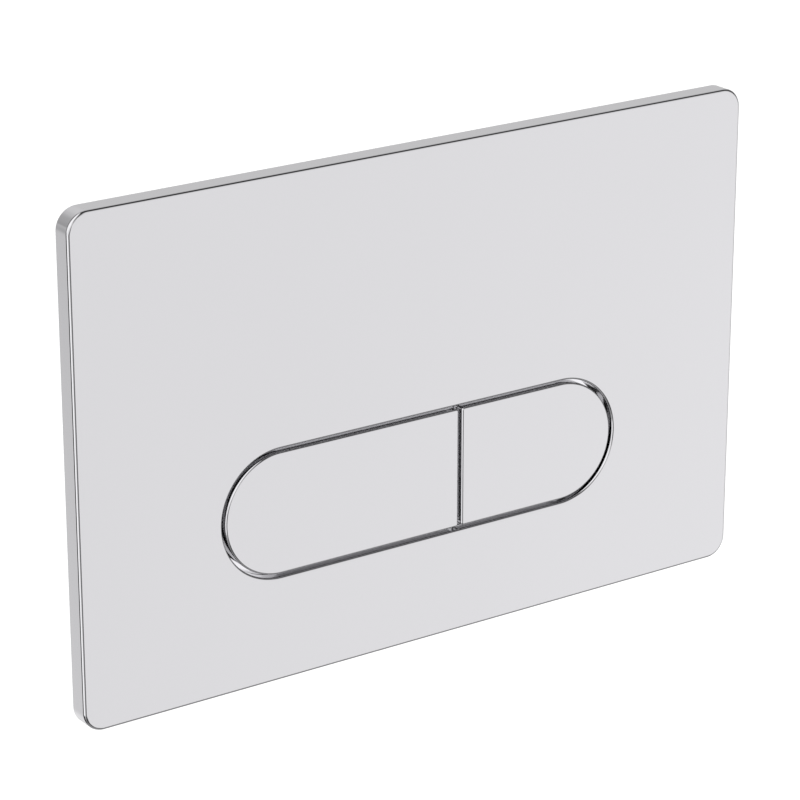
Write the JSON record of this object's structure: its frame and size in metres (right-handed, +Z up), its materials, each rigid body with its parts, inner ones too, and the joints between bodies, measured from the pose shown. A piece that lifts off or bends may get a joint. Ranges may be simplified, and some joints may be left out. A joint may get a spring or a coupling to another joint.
{
  "type": "dual flush button plate",
  "caption": "Slim rectangular chrome wall plate for a concealed cistern, with a long and a short flush button set in one stadium opening and push rods, springs and a wall frame behind.",
  "frame": {"origin": "middle of the plate on the wall's surface, where the rear of the frame's flange and of the plate's skirt bear on the wall", "axes": "+X to the right of a person facing the plate, +Y into the wall, +Z up"},
  "size_m": [0.234, 0.0684, 0.154],
  "materials": {
    "chrome_plating": "bright chrome plating on moulded plastic",
    "carrier_plastic": "moulded, fine matt",
    "frame_plastic": "moulded, fine matt",
    "zinc_steel": "zinc plated",
    "spring_steel": "drawn, bright",
    "fitting_plastic": "moulded, satin",
    "rod_plastic": "moulded, satin"
  },
  "bodies": {
    "wall_plate": {"front_plate": "chrome_plating", "button_carrier": "carrier_plastic", "carrier_screws": "zinc_steel", "full_flush_hinge_pin": "spring_steel", "half_flush_hinge_pin": "spring_steel", "mounting_frame": "frame_plastic", "rod_bridge": "frame_plastic", "left_fixing_stud": "zinc_steel", "right_fixing_stud": "zinc_steel", "left_fixing_washer": "zinc_steel", "right_fixing_washer": "zinc_steel", "left_fixing_nut": "fitting_plastic", "right_fixing_nut": "fitting_plastic", "full_flush_rod_guide": "fitting_plastic", "half_flush_rod_guide": "fitting_plastic", "full_flush_return_spring": "spring_steel", "half_flush_return_spring": "spring_steel"},
    "full_flush_button": {"full_flush_button": "chrome_plating"},
    "half_flush_button": {"half_flush_button": "chrome_plating"},
    "full_flush_rod": {"full_flush_push_rod": "rod_plastic", "full_flush_rod_head": "rod_plastic", "full_flush_rod_nut": "fitting_plastic"},
    "half_flush_rod": {"half_flush_push_rod": "rod_plastic", "half_flush_rod_head": "rod_plastic", "half_flush_rod_nut": "fitting_plastic"}
  },
  "joints": [
    {"name": "full_flush_tilt", "type": "hinge", "parent": "wall_plate", "child": "full_flush_button", "pos_m": [0, -0.0016, 0.0012], "axis": [1, 0, 0], "range_deg": [0, 8], "stiffness_Nm_per_rad": 1.1, "springref_deg": -5.73},
    {"name": "half_flush_tilt", "type": "hinge", "parent": "wall_plate", "child": "half_flush_button", "pos_m": [0, -0.0016, 0.0012], "axis": [1, 0, 0], "range_deg": [0, 8], "stiffness_Nm_per_rad": 1.1, "springref_deg": -5.73},
    {"name": "full_flush_push", "type": "slide", "parent": "wall_plate", "child": "full_flush_rod", "axis": [0, 1, 0], "range_m": [0, 0.0047], "deforming": ["full_flush_return_spring"]},
    {"name": "half_flush_push", "type": "slide", "parent": "wall_plate", "child": "half_flush_rod", "axis": [0, 1, 0], "range_m": [0, 0.0047], "deforming": ["half_flush_return_spring"]}
  ],
  "couplings": [
    {"joint": "full_flush_push", "follows": "full_flush_tilt", "m_per_rad": 0.0336},
    {"joint": "half_flush_push", "follows": "half_flush_tilt", "m_per_rad": 0.0336}
  ]
}
